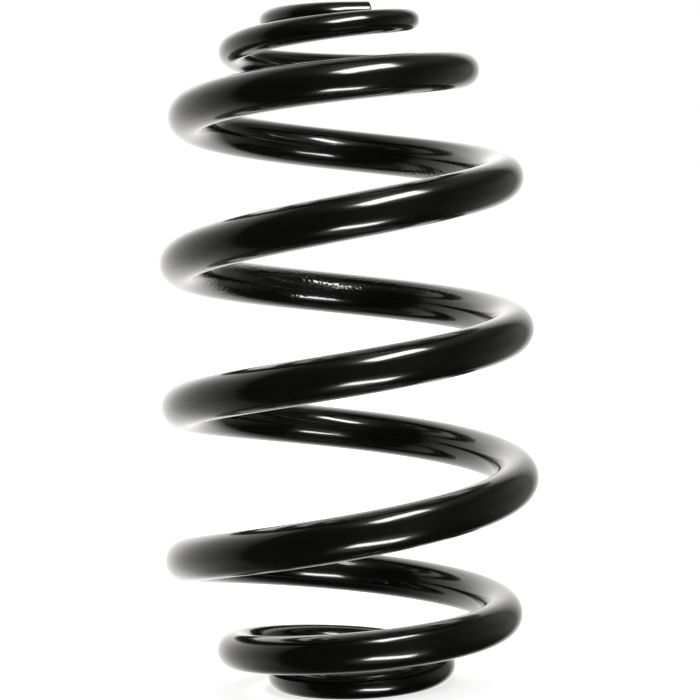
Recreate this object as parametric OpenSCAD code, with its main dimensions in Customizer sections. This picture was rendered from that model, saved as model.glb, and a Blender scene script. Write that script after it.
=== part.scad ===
// Barrel-shaped coil spring of a car's rear suspension, wound from one round steel bar.
// The coil stands on the seat plane z = 0 and its axis is the Z axis.
// The bar is tapered towards both ends, and each end closes into a small flat ring,
// so that the small turns nest inside the large ones when the spring is pressed together.
// A place along the bar is given in turns, counted up from its lower end.

/* [Bar] */
// Diameter of the bar through the body of the coil
bar_d = 15.0; // [12:0.1:15.5]
// Diameter of the bar at its lower end
low_end_d = 9.0; // [7:0.1:10]
// Diameter of the bar at its upper end
top_end_d = 7.4; // [6:0.1:8.4]
// Turn at which the lower taper has grown to the full bar
low_taper_turn = 2.2; // [1.6:0.1:2.6]
// Turn at which the upper taper starts
top_taper_start = 5.0; // [4.6:0.1:5.4]
// Turn at which the upper taper is down to its end diameter
top_taper_end = 6.9; // [6.5:0.1:7.2]
// Chamfer round the two cut ends
end_chamfer = 0.6; // [0.2:0.1:1.2]

/* [Coil] */
// Number of turns from one end of the bar to the other
turns = 7.55; // [7.3:0.005:7.6]
// Angle at which the lower end of the bar lies
start_angle = 110; // [0:5:355]
// Radius of the lower body turns, from the axis to the middle of the bar
body_r = 58.2; // [54:0.1:70]
// How much smaller that radius is in the upper body turns
body_narrows = 1.2; // [0:0.1:3]
// Radius of the lower end ring
low_ring_r = 25.7; // [24:0.1:30]
// Radius of the upper end ring
top_ring_r = 20.0; // [19:0.1:23]
// Turn at which the coil starts to open out from the lower ring
opening_start = 0.2; // [0:0.01:0.3]
// Turn at which it has opened out to the body
opening_end = 2.24; // [2:0.01:2.4]
// Turn at which the coil starts to close in above the body
closing_start = 4.47; // [4.3:0.01:4.8]
// Turn at which it has closed in to the upper ring
closing_end = 7.55; // [7.5:0.01:7.8]
// Part of a turn at the upper end where the bar runs on straight instead of round the ring
straight_end = 0.06; // [0:0.005:0.07]
// How far the middle of the coil stands out sideways from the line through its two ends
side_bow = 1.9; // [0:0.1:4]

/* [Pitch] */
// Rise in one turn through the body
body_pitch = 51.8; // [48:0.1:60]
// Rise in one turn below the body, where the coil opens out
low_pitch = 15.8; // [14:0.1:20]
// Rise in one turn above the body, where the coil closes in
top_pitch = 21.8; // [20:0.1:26]
// Rise in one turn of the closed upper ring
closed_pitch = 0.5; // [0:0.1:2]
// Height by which two of the body turns were wound higher than an even pitch puts them
pitch_waver = 1.9; // [0:0.1:3]

/* [Surface] */
// Sides of the bar's section
bar_sides = 22; // [12:2:22]
// Largest gap between the true curve of the bar and its straight lengths
curve_sag = 0.17; // [0.17:0.01:0.5]

/* [Hidden] */
// turns between which the body narrows
narrowing_turns = [3.45, 4.2];
// turns between which each change of pitch takes place
low_rise_turns = [0.4, 0.9];
body_start_turns = [1.545, 2.05];
body_end_turns = [4.945, 5.65];
top_close_turns = [6.35, 7.05];
// the waver comes back every 1.6 turns and fades out at both ends of the body
waver_first = 2.43;
waver_every = 1.6;
waver_in = [2.0, 2.8];
waver_out = [4.92, 5.6];
// a short step along the bar, over which its direction is measured
direction_step = 0.002;

// How far n has come from the first turn of a span to its last, from 0 to 1
function part_of(span, n) = max(0, min(1, (n - span[0]) / (span[1] - span[0])));

// A smooth change from 0 to 1 over the span, level at both ends
function ease(span, n) = let (u = part_of(span, n)) u * u * (3 - 2 * u);

// The same change added up along the bar, which turns a pitch into a height
function eased_sum(span, n) =
    let (u = part_of(span, n))
    (span[1] - span[0]) * (u ^ 3 - u ^ 4 / 2) + max(0, n - span[1]);

// Diameter of the bar at turn n
function bar_at(n) =
    low_end_d
    + (bar_d - low_end_d) * ease([0, low_taper_turn], n)
    - (bar_d - top_end_d) * ease([top_taper_start, top_taper_end], n);

// Radius of the round coil at turn n
function round_r(n) =
    low_ring_r
    + (body_r - low_ring_r) * ease([opening_start, opening_end], n)
    - body_narrows * ease(narrowing_turns, n)
    - (body_r - body_narrows - top_ring_r) * ease([closing_start, closing_end], n);

// The same with the straight end, which leaves the ring along its tangent
function coil_r(n) = round_r(n) / cos(360 * max(0, n - turns + straight_end));

// The extra height that the uneven winding gives turn n
function waver(n) =
    pitch_waver * sin(180 * (n - waver_first) / waver_every) ^ 2
    * ease(waver_in, n) * (1 - ease(waver_out, n));

// Height of the middle of the bar at turn n: the bar lies on the seat until it starts to rise
function height(n) =
    bar_at(n) / 2
    + low_pitch * eased_sum(low_rise_turns, n)
    + (body_pitch - low_pitch) * eased_sum(body_start_turns, n)
    - (body_pitch - top_pitch) * eased_sum(body_end_turns, n)
    - (top_pitch - closed_pitch) * eased_sum(top_close_turns, n)
    + waver(n);

// Sideways place of the coil's middle at height z, a parabola that is 0 at both ends
function bow_at(z) = let (h = z / height(turns)) 4 * side_bow * h * (1 - h);

// The middle of the bar at turn n
function bar_middle(n) =
    let (a = start_angle + 360 * n, z = height(n))
    [coil_r(n) * cos(a) + bow_at(z), coil_r(n) * sin(a), z];

function unit(v) = v / norm(v);

// Direction in which the bar runs at turn n
function direction(n) = unit(bar_middle(n + direction_step) - bar_middle(n - direction_step));

// One ring of points round the bar, square to it, with its middle moved by slide along it
function ring(n, d, slide = 0) =
    let (
        along = direction(n),
        out = unit(cross(along, [0, 0, 1])),
        up = cross(out, along),
        middle = bar_middle(n) + slide * along
    )
    [for (i = [0:bar_sides - 1])
        let (a = 360 * i / bar_sides)
        middle + d / 2 * (cos(a) * out + sin(a) * up)];

// Turns at which the bar gets a ring, closer together where the coil is narrow
function ring_turns() =
    [for (n = 0; n < turns; n = n + sqrt(8 * curve_sag / coil_r(n)) / (2 * PI)) n];

// The coiled bar: rings joined one after the other, and flat ends inside a chamfer
module coil_spring() {
    stations = ring_turns();
    inner = [for (i = [1:len(stations) - 2]) stations[i]];
    rings = [
        ring(0, low_end_d - 2 * end_chamfer),
        ring(0, low_end_d, end_chamfer),
        for (n = inner) ring(n, bar_at(n)),
        ring(turns, bar_at(turns), -end_chamfer),
        ring(turns, bar_at(turns) - 2 * end_chamfer)
    ];
    last = len(rings) - 1;
    points = [for (r = rings) each r];
    sides = [
        for (k = [0:last - 1], i = [0:bar_sides - 1])
            let (
                j = (i + 1) % bar_sides,
                a = k * bar_sides + i,
                b = k * bar_sides + j,
                c = b + bar_sides,
                d = a + bar_sides
            )
            each [[a, b, c], [a, c, d]]
    ];
    start_face = [for (i = [bar_sides - 1:-1:0]) i];
    end_face = [for (i = [0:bar_sides - 1]) last * bar_sides + i];
    color("#161718")
        polyhedron(points, concat([start_face], sides, [end_face]), convexity = 10);
}

coil_spring();
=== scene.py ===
# Barrel-shaped coil spring in gloss black enamel, standing in a plain white studio.
# Lengths are in metres. A place along the bar is given in turns, counted up from its lower end.
import math

import bpy
import numpy as np
from mathutils import Matrix, Quaternion, Vector


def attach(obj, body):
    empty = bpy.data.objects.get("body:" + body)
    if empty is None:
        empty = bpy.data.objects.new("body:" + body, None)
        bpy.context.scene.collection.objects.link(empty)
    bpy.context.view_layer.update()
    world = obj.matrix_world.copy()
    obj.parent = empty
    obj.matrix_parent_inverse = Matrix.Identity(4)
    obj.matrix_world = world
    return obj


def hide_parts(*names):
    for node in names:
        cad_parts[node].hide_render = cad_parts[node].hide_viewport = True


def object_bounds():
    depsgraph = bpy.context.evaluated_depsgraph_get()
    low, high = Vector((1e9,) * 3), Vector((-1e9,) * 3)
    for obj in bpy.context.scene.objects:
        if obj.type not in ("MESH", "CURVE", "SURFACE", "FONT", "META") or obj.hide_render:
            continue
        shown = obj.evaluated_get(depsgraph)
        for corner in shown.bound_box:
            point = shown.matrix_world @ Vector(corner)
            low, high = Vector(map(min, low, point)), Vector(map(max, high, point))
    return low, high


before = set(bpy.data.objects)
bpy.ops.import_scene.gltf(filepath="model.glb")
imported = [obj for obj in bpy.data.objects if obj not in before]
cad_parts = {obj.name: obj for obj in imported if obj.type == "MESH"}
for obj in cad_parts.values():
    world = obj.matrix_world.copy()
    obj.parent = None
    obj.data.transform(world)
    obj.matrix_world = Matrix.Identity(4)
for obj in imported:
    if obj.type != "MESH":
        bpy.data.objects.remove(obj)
cad_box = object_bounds()
MM = 0.001

# The bar, as in the CAD source: its diameters, the turns over which it tapers, and the rounding of its ends
BAR_D = 15.0 * MM
LOW_END_D = 9.0 * MM
TOP_END_D = 7.4 * MM
LOW_TAPER = (0.0, 2.2)
TOP_TAPER = (5.0, 6.9)
END_ROUNDING = 0.6 * MM

# The coil, as in the CAD source: its radii out to the middle of the bar, and the turns over which they change
TURNS = 7.55
START_ANGLE = math.radians(110)
BODY_R = 58.2 * MM
BODY_NARROWS = 1.2 * MM
NARROWING = (3.45, 4.2)
LOW_RING_R = 25.7 * MM
TOP_RING_R = 20.0 * MM
OPENING = (0.2, 2.24)
CLOSING = (4.47, 7.55)
# The part of a turn that runs straight at the upper end, and how far the coil's middle stands out sideways
STRAIGHT_END = 0.06
SIDE_BOW = 1.9 * MM

# The rise in one turn, as in the CAD source, and the turns between which it changes
BODY_PITCH = 51.8 * MM
LOW_PITCH = 15.8 * MM
TOP_PITCH = 21.8 * MM
CLOSED_PITCH = 0.5 * MM
LOW_RISE = (0.4, 0.9)
BODY_START = (1.545, 2.05)
BODY_END = (4.945, 5.65)
TOP_CLOSE = (6.35, 7.05)
# The extra height of turns that were wound too high: how much, how often, and where it comes in and goes
PITCH_WAVER = 1.9 * MM
WAVER_FIRST = 2.43
WAVER_EVERY = 1.6
WAVER_IN = (2.0, 2.8)
WAVER_OUT = (4.92, 5.6)

# How finely the surface is divided: the sides and rings of the bar, the rings of each rounded edge, and those
# of the flat face inside it, as shares of its radius
SIDES = 56
RINGS = 1600
ROUNDING_RINGS = 5
FACE_RINGS = (0.35, 0.7, 0.94)
# The steps to a ring in which the bar's length is added up, and the part of a turn to each side over which
# its direction is measured
STEPS_PER_RING = 20
SHORT_TURN = 1e-4

# The enamel's colour coat: the two near blacks and the two roughnesses between which it varies, the width of
# the clouds in which it does, and the span of their noise over which the roughness changes
DEEP_BLACK = "#070905"
PALE_BLACK = "#0a0b07"
COLOUR_ROUGHNESS = (0.14, 0.20)
CLOUD_WIDTH = 25 * MM
CLOUD_NOISE = (0.3, 0.7)
# The clear coat on top of it, and the refractive index of both
CLEAR_ROUGHNESS = 0.05
ENAMEL_IOR = 1.5
# The enamel's relief: how wide and how deep its sags and its orange peel are
SAG_WIDTH = 14 * MM
SAG_DEPTH = 0.02 * MM
PEEL_WIDTH = 3.2 * MM
PEEL_DEPTH = 0.022 * MM
# The bar's draw lines are about 0.3 mm wide, less than a pixel, so they are drawn coarser to show
DRAW_LINE_LENGTH = 40 * MM
DRAW_LINE_WIDTH = 1.1 * MM
DRAW_LINE_DEPTH = 0.0015 * MM
# The grain of dry spray is as fine, so it is drawn coarser too
GRAIN_WIDTH = 1.2 * MM
GRAIN_DEPTH = 0.1 * MM
# The spray fell dry inside two of the turns: the heights over which the grain comes in and over which it
# goes, and the cosines of the angle from the bar's outer side at which it starts and is full
DRY_STARTS = (133 * MM, 140 * MM)
DRY_STOPS = (179 * MM, 184 * MM)
DRY_SIDE = (0.3, -0.6)

# The photograph's camera: its sensor in the millimetres that Blender takes, its focal length and frame in
# pixels, the size of a pixel at the coil, and how far it looks down and is rolled, in radians
SENSOR_MM = 36.0
FOCAL_PX = 2550
FRAME_PX = 700
PIXEL = 0.35 * MM
LOOKS_DOWN = 0.0396
ROLLED = 0.0351
# The middle of the coil, which the lamps face, and how many pixels from it the camera aims
COIL_MIDDLE = Vector((0, 0, 119 * MM))
AIM_RIGHT_PX = 7.9
AIM_UP_PX = -1.9

# The two soft boxes that leave the long highlights. Each has a place, a width and height, the part of both
# that fades out towards the edges, a roll in radians and a radiance. It also spills a glow on the tent round
# it, of this brightness, which reaches out by this angle in degrees.
SOFT_BOXES = {
    "upper_softbox": {
        "place": (0.087, -0.174, 0.358),
        "size": (0.200, 0.104),
        "fades": (0.35, 0.55),
        "roll": 0.40,
        "radiance": 15.5,
        "spill": 0.3,
        "reach": 25,
    },
    "lower_softbox": {
        "place": (0.118, -0.311, -0.214),
        "size": (0.280, 0.122),
        "fades": (0.35, 0.65),
        "roll": -0.26,
        "radiance": 13.5,
        "spill": 0.35,
        "reach": 25,
    },
}
# The broad lamp that lights whatever isn't glossy: its place, its width and height, and its power in watts
KEY_PLACE = (0.3, -0.5, 2.8)
KEY_SIZE = (1.6, 1.6)
KEY_POWER = 62.0

# The room's brightness: what matt surfaces get from it, and what reflections show of it past the tent
ROOM_ON_MATT = 0.6
ROOM_IN_GLOSS = 0.018

# The floor, and its own glow towards the camera: beside the coil, far away, and where it goes from one to the
# other, as distances from the coil's axis
FLOOR_SIZE = 12.0
FLOOR_WHITE = "#e8e8e6"
FLOOR_ROUGHNESS = 0.9
FLOOR_GLOW = (0.72, 1.0)
GLOW_RISES = (0.25, 0.9)

# The light tent round the coil, which shows only in reflections, and its points round and from foot to top
TENT_R = 0.4
TENT_COLUMNS = 97
TENT_ROWS = 49
CLOTH_WHITE = "#fffefc"
# Each cloth's brightness is given by compass angle, in degrees from the camera and positive to the right,
# with the elevations between which the cloth rises out of the dark and falls back into it.
TENT_CLOTHS = {
    "back": {
        "levels": (
            (-180, 1.1), (-135, 1.1), (-70, 0.18), (-62, 0.0), (131, 0.0), (147, 0.7), (163, 1.1), (180, 1.1),
        ),
        "rises": (-86, -36),
        "falls": (36, 74),
    },
    "top back": {
        "levels": ((-180, 0.25), (-150, 0.25), (-125, 0.0), (155, 0.0), (172, 0.25), (180, 0.25)),
        "rises": (-4, 22),
        "falls": (40, 60),
    },
    "upper left": {
        "levels": ((-180, 0.15), (-140, 0.7), (-110, 0.5), (-64, 0.0), (180, 0.15)),
        "rises": (28, 56),
        "falls": (56, 80),
    },
    "right": {
        "levels": (
            (-180, 0.0), (-15, 0.0), (30, 0.06), (60, 0.02), (84, 0.08), (125, 0.25), (150, 0.0), (180, 0.0),
        ),
        "rises": (-48, -16),
        "falls": (16, 44),
    },
    "ceiling": {
        "levels": (
            (-180, 0.3), (-120, 0.35), (-70, 0.05), (-30, 0.05), (10, 0.2),
            (50, 0.2), (80, 0.05), (130, 0.05), (180, 0.3),
        ),
        "rises": (44, 66),
        "falls": (78, 90),
    },
}


def part_of(span, n):
    """How far n has come from the first turn of a span to its last, from 0 to 1."""
    return np.clip((n - span[0]) / (span[1] - span[0]), 0, 1)


def ease(span, n):
    """A smooth change from 0 to 1 over the span: 3 u squared less 2 u cubed."""
    u = part_of(span, n)
    return u * u * (3 - 2 * u)


def eased_sum(span, n):
    """The same change added up along the bar, which turns a pitch into a height."""
    u = part_of(span, n)
    return (span[1] - span[0]) * (u**3 - u**4 / 2) + np.maximum(0, n - span[1])


def bar_diameter(n):
    """The full bar, less a smooth taper towards each end."""
    grown = LOW_END_D + (BAR_D - LOW_END_D) * ease(LOW_TAPER, n)
    return grown - (BAR_D - TOP_END_D) * ease(TOP_TAPER, n)


def coil_radius(n):
    """From the lower ring's radius out to the body's, which narrows a little, and in to the upper ring's.

    The last bit of the bar runs on straight, along the upper ring's tangent: there the radius is the ring's
    over the cosine of the angle that the bar has run on.
    """
    opened = LOW_RING_R + (BODY_R - LOW_RING_R) * ease(OPENING, n)
    narrowed = opened - BODY_NARROWS * ease(NARROWING, n)
    closed = narrowed - (BODY_R - BODY_NARROWS - TOP_RING_R) * ease(CLOSING, n)
    return closed / np.cos(2 * np.pi * np.maximum(0, n - TURNS + STRAIGHT_END))


def waver(n):
    """The extra height of the turns that were wound a little too high: a squared sine, faded at both ends."""
    swell = np.sin(np.pi * (n - WAVER_FIRST) / WAVER_EVERY) ** 2
    return PITCH_WAVER * swell * ease(WAVER_IN, n) * (1 - ease(WAVER_OUT, n))


def height(n):
    """Half the bar above the seat, and then each stretch's pitch added up."""
    return (
        bar_diameter(n) / 2
        + LOW_PITCH * eased_sum(LOW_RISE, n)
        + (BODY_PITCH - LOW_PITCH) * eased_sum(BODY_START, n)
        - (BODY_PITCH - TOP_PITCH) * eased_sum(BODY_END, n)
        - (TOP_PITCH - CLOSED_PITCH) * eased_sum(TOP_CLOSE, n)
        + waver(n)
    )


def bar_middle(n):
    """A helix of changing radius and height, with its axis bowed sideways as a parabola."""
    angle = START_ANGLE + 2 * np.pi * n
    z = height(n)
    share = z / height(TURNS)
    bow = 4 * SIDE_BOW * share * (1 - share)
    return np.stack([coil_radius(n) * np.cos(angle) + bow, coil_radius(n) * np.sin(angle), z], -1)


def short_step(n):
    """How far the bar's middle moves from a short turn below n to a short turn above it, as a vector."""
    return bar_middle(n + SHORT_TURN) - bar_middle(n - SHORT_TURN)


def unit(vectors):
    """Each vector divided by its own length."""
    return vectors / np.linalg.norm(vectors, axis=-1, keepdims=True)


def travelled_to(n):
    """The metres of bar up to each of a row of turns: the straight steps between them, added up."""
    steps = np.linalg.norm(np.diff(bar_middle(n), axis=0), axis=1)
    return np.concatenate([[0], np.cumsum(steps)])


def even_turns(count):
    """Turns at which rings stand the same distance apart along the bar."""
    n = np.linspace(0, TURNS, STEPS_PER_RING * count)
    travelled = travelled_to(n)
    return np.interp(np.linspace(0, travelled[-1], count), travelled, n)


def end_rings(radius):
    """The rings that close one end, from its middle out: the flat face's, and then a quarter round's.

    They are given as distances in from the cut face, and radii.
    """
    flat = radius - END_ROUNDING
    turn = np.linspace(0, np.pi / 2, ROUNDING_RINGS)
    distances = np.concatenate([np.zeros(len(FACE_RINGS)), END_ROUNDING * (1 - np.cos(turn))])
    radii = np.concatenate([flat * np.array(FACE_RINGS), flat + END_ROUNDING * np.sin(turn)])
    return distances, radii


def coil_grid():
    """The bar's surface as rings by sides, and the metres of bar up to each ring.

    Each ring is a circle square to the bar: its middle, plus its radius times the cosine of the angle
    outwards and times the sine upwards. The rings of a rounded end lie within END_ROUNDING of the cut face,
    and the even rings of the rest start at twice that distance.
    """
    low_distances, low_radii = end_rings(LOW_END_D / 2)
    top_distances, top_radii = end_rings(TOP_END_D / 2)
    n = even_turns(RINGS)
    # The metres of bar in one turn, at the lower end and at the upper end
    low_rate, top_rate = np.linalg.norm(short_step(n[[0, -1]]), axis=1) / (2 * SHORT_TURN)
    clear = 2 * END_ROUNDING
    inner = n[(n * low_rate > clear) & ((TURNS - n) * top_rate > clear)]
    turns = np.concatenate([low_distances / low_rate, inner, TURNS - top_distances[::-1] / top_rate])
    radius = np.concatenate([low_radii, bar_diameter(inner) / 2, top_radii[::-1]])
    along = unit(short_step(turns))
    out = unit(np.cross(along, [0, 0, 1]))
    up = np.cross(out, along)
    angle = 2 * np.pi * np.arange(SIDES) / SIDES
    circle = np.cos(angle)[:, None] * out[:, None] + np.sin(angle)[:, None] * up[:, None]
    points = bar_middle(turns)[:, None] + radius[:, None, None] * circle
    return points, travelled_to(turns)


def quads(grid):
    """The four corners of every cell between the rows and columns of a grid."""
    return np.stack([grid[:-1, :-1], grid[:-1, 1:], grid[1:, 1:], grid[1:, :-1]], -1).reshape(-1, 4)


def new_object(name, data):
    """An object in the scene for a mesh, a lamp or a camera."""
    made = bpy.data.objects.new(name, data)
    bpy.context.scene.collection.objects.link(made)
    return made


def closed_bar(name, points, travelled):
    """The bar as a mesh: walls between its rings, and a fan of triangles round the middle of each end.

    Its map, along_bar, gives the metres along the bar and those round it, which are the angle times the full
    bar's radius. The fans lie at the map's corner.
    """
    rings, sides = points.shape[:2]
    number = np.arange(rings * sides).reshape(rings, sides)
    wrapped = np.concatenate([number, number[:, :1]], axis=1)
    first, last = rings * sides, rings * sides + 1
    start = np.stack([np.full(sides, first), wrapped[0, 1:], wrapped[0, :-1]], -1)
    end = np.stack([np.full(sides, last), wrapped[-1, :-1], wrapped[-1, 1:]], -1)
    poles = np.stack([points[0].mean(0), points[-1].mean(0)])
    faces = quads(wrapped).tolist() + start.tolist() + end.tolist()
    mesh = bpy.data.meshes.new(name)
    mesh.from_pydata(np.concatenate([points.reshape(-1, 3), poles]), [], faces)
    u, v = np.meshgrid(travelled, np.linspace(0, np.pi * BAR_D, sides + 1), indexing="ij")
    walls = np.stack([quads(u), quads(v)], -1).reshape(-1, 2)
    fans = np.zeros((start.size + end.size, 2))
    coords = np.concatenate([walls, fans]).astype(np.float32)
    mesh.uv_layers.new(name="along_bar").uv.foreach_set("vector", coords.ravel())
    mesh.polygons.foreach_set("use_smooth", np.ones(len(mesh.polygons), bool))
    mesh.update()
    return new_object(name, mesh)


def linear(hex_colour):
    """A colour written as sRGB hex, as the linear red, green, blue and alpha that a shader takes.

    By the sRGB standard, a dark part is divided by 12.92, and a lighter one is raised to a power of 2.4.
    """
    parts = [int(hex_colour[i : i + 2], 16) / 255 for i in (1, 3, 5)]
    return [c / 12.92 if c <= 0.04045 else ((c + 0.055) / 1.055) ** 2.4 for c in parts] + [1.0]


def set_inputs(tree, node, inputs):
    """Sets a node's inputs, each to a value or to a link from an output or a node.

    A link from a node leaves the first output that its settings keep in use.
    """
    for name, value in inputs.items():
        if isinstance(value, bpy.types.Node):
            value = next(output for output in value.outputs if output.enabled)
        if isinstance(value, bpy.types.NodeSocket):
            tree.links.new(value, node.inputs[name])
        else:
            node.inputs[name].default_value = value


def add_node(tree, kind, inputs=None, **settings):
    """Adds a node: settings are its own options, and inputs are its values and links, as in set_inputs."""
    made = tree.nodes.new(kind)
    for name, value in settings.items():
        setattr(made, name, value)
    set_inputs(tree, made, inputs or {})
    return made


def new_material(name):
    """A material made of nodes, with a Principled shader in it."""
    material = bpy.data.materials.new(name)
    material.use_nodes = True
    return material


def band(tree, value, rises, falls):
    """1 in a band of values and 0 on both sides of it: a smooth rise times a smooth fall."""
    rise = add_node(
        tree,
        "ShaderNodeMapRange",
        {"Value": value, "From Min": rises[0], "From Max": rises[1]},
        interpolation_type="SMOOTHSTEP",
    )
    fall = add_node(
        tree,
        "ShaderNodeMapRange",
        {"Value": value, "From Min": falls[0], "From Max": falls[1], "To Min": 1.0, "To Max": 0.0},
        interpolation_type="SMOOTHSTEP",
    )
    return add_node(tree, "ShaderNodeMath", {0: rise, 1: fall}, operation="MULTIPLY")


def dryness(tree, place, bar_map):
    """How dry the spray fell: a smooth rise towards the coil's middle, times a band of heights.

    The angle round the bar is the map's second length over the full bar's radius, and 0 on the outer side.
    """
    around = add_node(tree, "ShaderNodeSeparateXYZ", {"Vector": bar_map}).outputs["Y"]
    angle = add_node(tree, "ShaderNodeMath", {0: around, 1: BAR_D / 2}, operation="DIVIDE")
    outward = add_node(tree, "ShaderNodeMath", {0: angle}, operation="COSINE")
    inward = add_node(
        tree,
        "ShaderNodeMapRange",
        {"Value": outward, "From Min": DRY_SIDE[0], "From Max": DRY_SIDE[1]},
        interpolation_type="SMOOTHSTEP",
    )
    tall = add_node(tree, "ShaderNodeSeparateXYZ", {"Vector": place}).outputs["Z"]
    zone = band(tree, tall, DRY_STARTS, DRY_STOPS)
    return add_node(tree, "ShaderNodeMath", {0: inward, 1: zone}, operation="MULTIPLY")


def gloss_black_enamel():
    """Black stoving enamel, sprayed over a peeled steel bar and baked.

    It flows out to a mirror-like gloss, so it shows the studio as sharp pale shapes in near black. Its sags
    and its faint orange peel make the edges of a highlight tremble, and the bar's own draw lines show through
    it. Inside two of the turns the spray fell drier, and its grain breaks the highlights up into dots.
    """
    material = new_material("gloss_black_enamel")
    tree = material.node_tree
    place = add_node(tree, "ShaderNodeTexCoord").outputs["Object"]
    bar_map = add_node(tree, "ShaderNodeUVMap", uv_map="along_bar")
    per_line = (1 / DRAW_LINE_LENGTH, 1 / DRAW_LINE_WIDTH, 1.0)
    drawn = add_node(tree, "ShaderNodeMapping", {"Vector": bar_map, "Scale": per_line})
    sag = add_node(tree, "ShaderNodeTexNoise", {"Vector": place, "Scale": 1 / SAG_WIDTH, "Detail": 0.0})
    lines = add_node(tree, "ShaderNodeTexNoise", {"Vector": drawn, "Scale": 1.0, "Detail": 2.0})
    peel = add_node(
        tree,
        "ShaderNodeTexNoise",
        {"Vector": place, "Scale": 1 / PEEL_WIDTH, "Detail": 1.0, "Roughness": 0.4},
    )
    grain = add_node(tree, "ShaderNodeTexNoise", {"Vector": place, "Scale": 1 / GRAIN_WIDTH, "Detail": 0.0})
    dry = dryness(tree, place, bar_map)
    relief = (
        {"Height": sag, "Distance": SAG_DEPTH, "Strength": 1.0},
        {"Height": lines, "Distance": DRAW_LINE_DEPTH, "Strength": 1.0},
        {"Height": peel, "Distance": PEEL_DEPTH, "Strength": 1.0},
        {"Height": grain, "Distance": GRAIN_DEPTH, "Strength": dry},
    )
    under = {}
    for pattern in relief:
        surface = add_node(tree, "ShaderNodeBump", {**pattern, **under})
        under = {"Normal": surface}
    cloud = add_node(tree, "ShaderNodeTexNoise", {"Vector": place, "Scale": 1 / CLOUD_WIDTH, "Detail": 3.0})
    tint = add_node(
        tree,
        "ShaderNodeMix",
        {"Factor": cloud, "A": linear(DEEP_BLACK), "B": linear(PALE_BLACK)},
        data_type="RGBA",
    )
    roughness = add_node(
        tree,
        "ShaderNodeMapRange",
        {
            "Value": cloud,
            "From Min": CLOUD_NOISE[0],
            "From Max": CLOUD_NOISE[1],
            "To Min": COLOUR_ROUGHNESS[0],
            "To Max": COLOUR_ROUGHNESS[1],
        },
    )
    looks = {
        "Base Color": tint,
        "Roughness": roughness,
        "IOR": ENAMEL_IOR,
        "Normal": surface,
        "Coat Weight": 1.0,
        "Coat Roughness": CLEAR_ROUGHNESS,
        "Coat IOR": ENAMEL_IOR,
        "Coat Normal": surface,
    }
    set_inputs(tree, tree.nodes["Principled BSDF"], looks)
    return material


def studio_world():
    """The room: white to the camera, an even glow on matt surfaces, and dark in reflections."""
    world = bpy.data.worlds.new("studio")
    world.use_nodes = True
    bpy.context.scene.world = world
    tree = world.node_tree
    rays = add_node(tree, "ShaderNodeLightPath").outputs
    either = {0: rays["Is Glossy Ray"], 1: rays["Is Transmission Ray"]}
    mirrored = add_node(tree, "ShaderNodeMath", either, operation="ADD")
    lit = add_node(tree, "ShaderNodeMix", {"Factor": mirrored, "A": ROOM_ON_MATT, "B": ROOM_IN_GLOSS})
    level = add_node(tree, "ShaderNodeMix", {"Factor": rays["Is Camera Ray"], "A": lit, "B": 1.0})
    set_inputs(tree, tree.nodes["Background"], {"Color": linear("#ffffff"), "Strength": level})


def light_tent():
    """A round tent of white cloth for the enamel to mirror: a sphere by compass angle and elevation.

    Each point is the cosine of its elevation out along its compass angle, and the sine up, times the radius.
    The tent is bright behind the coil and to its left, grey to the right and open towards the camera. It adds
    its glow to what lies behind it, so the lamps show through.
    """
    compass, elevation = np.meshgrid(
        np.linspace(-np.pi, np.pi, TENT_COLUMNS), np.linspace(-np.pi / 2, np.pi / 2, TENT_ROWS)
    )
    points = TENT_R * np.stack(
        [np.cos(elevation) * np.sin(compass), -np.cos(elevation) * np.cos(compass), np.sin(elevation)], -1
    )
    number = np.arange(compass.size).reshape(compass.shape)
    mesh = bpy.data.meshes.new("light_tent")
    mesh.from_pydata(points.reshape(-1, 3), [], quads(number).tolist())
    mesh.materials.append(tent_cloth())
    tent = new_object("light_tent", mesh)
    tent.location = COIL_MIDDLE
    tent.visible_camera = False
    tent.visible_diffuse = False
    tent.visible_shadow = False


def tent_cloth():
    """White cloth lit from outside: clear, with the glow of each cloth and of the soft boxes' spill added."""
    material = new_material("tent_cloth")
    tree = material.node_tree
    place = add_node(tree, "ShaderNodeTexCoord").outputs["Object"]
    direction = add_node(tree, "ShaderNodeVectorMath", {0: place}, operation="NORMALIZE")
    axes = add_node(tree, "ShaderNodeSeparateXYZ", {"Vector": direction}).outputs
    frontward = add_node(tree, "ShaderNodeMath", {0: axes["Y"], 1: -1.0}, operation="MULTIPLY")
    angle = add_node(tree, "ShaderNodeMath", {0: axes["X"], 1: frontward}, operation="ARCTAN2")
    full_turn = {"Value": angle, "From Min": -math.pi, "From Max": math.pi}
    compass = add_node(tree, "ShaderNodeMapRange", full_turn)
    lights = [cloth_glow(tree, compass, axes["Z"], **cloth) for cloth in TENT_CLOTHS.values()]
    lights += [spill_glow(tree, direction, soft_box) for soft_box in SOFT_BOXES.values()]
    light = 0.0
    for added in lights:
        light = add_node(tree, "ShaderNodeMath", {0: added, 1: light}, operation="ADD")
    glow = add_node(tree, "ShaderNodeEmission", {"Color": linear(CLOTH_WHITE), "Strength": light})
    clear = add_node(tree, "ShaderNodeBsdfTransparent")
    both = add_node(tree, "ShaderNodeAddShader", {0: glow, 1: clear})
    set_inputs(tree, tree.nodes["Material Output"], {"Surface": both})
    tree.nodes.remove(tree.nodes["Principled BSDF"])
    material.cycles.emission_sampling = "NONE"
    return material


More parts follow.
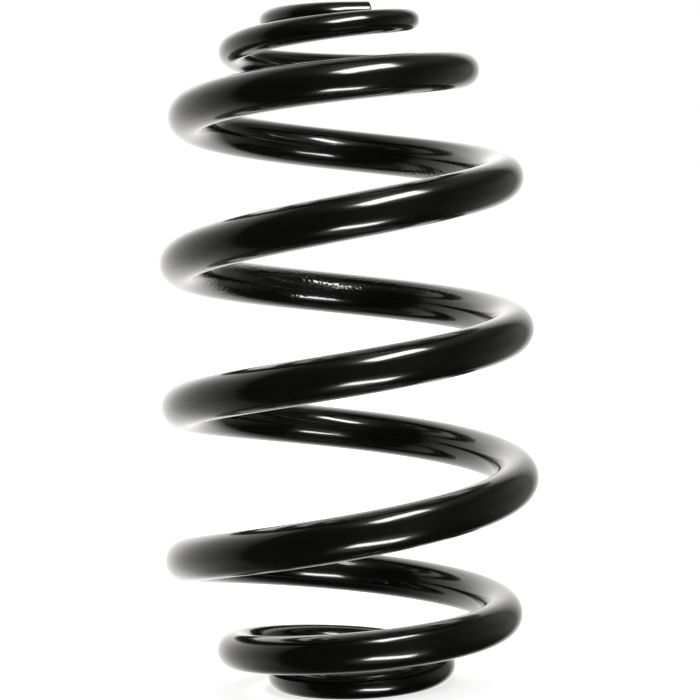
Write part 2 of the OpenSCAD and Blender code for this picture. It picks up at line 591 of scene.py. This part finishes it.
def cloth_glow(tree, compass, upward, levels, rises, falls):
    """The glow of one cloth: its brightness by compass angle, times the band of elevations in which it hangs.

    The compass runs from 0 to 1 round the tent, and upward is the sine of the elevation.
    """
    ramp = add_node(tree, "ShaderNodeValToRGB", {"Fac": compass})
    stops = ramp.color_ramp.elements
    for degrees, _ in levels[1:-1]:
        stops.new((degrees + 180) / 360)
    for stop, (degrees, level) in zip(stops, levels):
        stop.position = (degrees + 180) / 360
        stop.color = (level, level, level, 1)
    hung = band(tree, upward, np.sin(np.radians(rises)), np.sin(np.radians(falls)))
    return add_node(tree, "ShaderNodeMath", {0: ramp, 1: hung}, operation="MULTIPLY")


def spill_glow(tree, direction, soft_box):
    """The glow round a soft box: a smooth rise with the cosine of the angle from it, from its reach in."""
    towards = (Vector(soft_box["place"]) - COIL_MIDDLE).normalized()
    near = add_node(tree, "ShaderNodeVectorMath", {0: direction, 1: towards}, operation="DOT_PRODUCT")
    edge = math.cos(math.radians(soft_box["reach"]))
    return add_node(
        tree,
        "ShaderNodeMapRange",
        {"Value": near, "From Min": edge, "From Max": 1.0, "To Max": soft_box["spill"]},
        interpolation_type="SMOOTHSTEP",
    )


def area_lamp(name, place, size, power, roll=0.0):
    """A rectangular lamp that faces the middle of the coil, turned about its own axis by roll."""
    data = bpy.data.lights.new(name, "AREA")
    data.shape = "RECTANGLE"
    data.size, data.size_y = size
    data.energy = power
    lamp = new_object(name, data)
    lamp.location = place
    towards = COIL_MIDDLE - Vector(place)
    lamp.rotation_mode = "QUATERNION"
    lamp.rotation_quaternion = towards.to_track_quat("-Z", "Y") @ Quaternion((0, 0, 1), roll)
    lamp.visible_camera = False
    return lamp


def soft_rim(light, fades):
    """Makes a soft box fade towards its edges, over the given part of its width and of its height.

    A place on it runs from 0 to 1 both ways, and half of each part lies at either edge.
    """
    light.use_nodes = True
    tree = light.node_tree
    place = add_node(tree, "ShaderNodeNewGeometry").outputs["Parametric"]
    axes = add_node(tree, "ShaderNodeSeparateXYZ", {"Vector": place}).outputs
    strength = 1.0
    for axis, part in zip("XY", fades):
        inside = band(tree, axes[axis], (0.0, part / 2), (1 - part / 2, 1.0))
        strength = add_node(tree, "ShaderNodeMath", {0: inside, 1: strength}, operation="MULTIPLY")
    set_inputs(tree, tree.nodes["Emission"], {"Strength": strength})


def studio_lamps():
    """Two soft boxes for the highlights, and a broad lamp for what is matt.

    A soft box's power is its radiance times pi times its area.
    """
    for name, soft_box in SOFT_BOXES.items():
        wide, tall = soft_box["size"]
        power = soft_box["radiance"] * math.pi * wide * tall
        lamp = area_lamp(name, soft_box["place"], (wide, tall), power, soft_box["roll"])
        soft_rim(lamp.data, soft_box["fades"])
        lamp.visible_diffuse = False
    key = area_lamp("key_lamp", KEY_PLACE, KEY_SIZE, KEY_POWER)
    key.visible_glossy = False


def matt_white_floor():
    """Matt white card: it has no gloss, so it shows nothing but soft shadow.

    Its glow towards the camera grows with the distance from the coil, so the floor runs into the white room.
    """
    material = new_material("matt_white_floor")
    tree = material.node_tree
    place = add_node(tree, "ShaderNodeTexCoord").outputs["Object"]
    away = add_node(tree, "ShaderNodeVectorMath", {0: place}, operation="LENGTH")
    glow = add_node(
        tree,
        "ShaderNodeMapRange",
        {
            "Value": away,
            "From Min": GLOW_RISES[0],
            "From Max": GLOW_RISES[1],
            "To Min": FLOOR_GLOW[0],
            "To Max": FLOOR_GLOW[1],
        },
        interpolation_type="SMOOTHSTEP",
    )
    looked_at = add_node(tree, "ShaderNodeLightPath").outputs["Is Camera Ray"]
    seen = add_node(tree, "ShaderNodeMath", {0: looked_at, 1: glow}, operation="MULTIPLY")
    looks = {
        "Base Color": linear(FLOOR_WHITE),
        "Roughness": FLOOR_ROUGHNESS,
        "Specular IOR Level": 0.0,
        "Emission Color": linear("#ffffff"),
        "Emission Strength": seen,
    }
    set_inputs(tree, tree.nodes["Principled BSDF"], looks)
    return material


def studio_floor():
    """A pale floor at the height of the lower seat, which keeps the coil's shadow."""
    half = FLOOR_SIZE / 2
    corners = [(-half, -half, 0), (half, -half, 0), (half, half, 0), (-half, half, 0)]
    mesh = bpy.data.meshes.new("floor")
    mesh.from_pydata(corners, [], [(0, 1, 2, 3)])
    mesh.materials.append(matt_white_floor())
    floor = new_object("floor", mesh)
    floor.location.z = cad_box[0].z
    floor.visible_glossy = False
    floor.visible_shadow = False


def photo_camera():
    """A camera at the photograph's place: it looks a little down at the coil, and is rolled a little.

    Its distance is its focal length in pixels times the size of a pixel at the coil.
    """
    distance = FOCAL_PX * PIXEL
    forward = Vector((0, math.cos(LOOKS_DOWN), -math.sin(LOOKS_DOWN)))
    level_up = Vector((0, math.sin(LOOKS_DOWN), math.cos(LOOKS_DOWN)))
    level_right = Vector((1, 0, 0))
    right = math.cos(ROLLED) * level_right - math.sin(ROLLED) * level_up
    up = math.sin(ROLLED) * level_right + math.cos(ROLLED) * level_up
    aim = COIL_MIDDLE + PIXEL * (AIM_RIGHT_PX * right + AIM_UP_PX * up)
    data = bpy.data.cameras.new("camera")
    data.sensor_width = SENSOR_MM
    data.lens = SENSOR_MM * FOCAL_PX / FRAME_PX
    camera = new_object("camera", data)
    turned = Matrix((right, up, -forward)).transposed().to_4x4()
    camera.matrix_world = Matrix.Translation(aim - distance * forward) @ turned
    bpy.context.scene.camera = camera


coil = closed_bar("enamelled_coil", *coil_grid())
coil.data.materials.append(gloss_black_enamel())
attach(coil, "root")
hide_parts("coil_spring")
studio_world()
studio_lamps()
light_tent()
studio_floor()
photo_camera()
bpy.context.scene.view_settings.view_transform = "Standard"
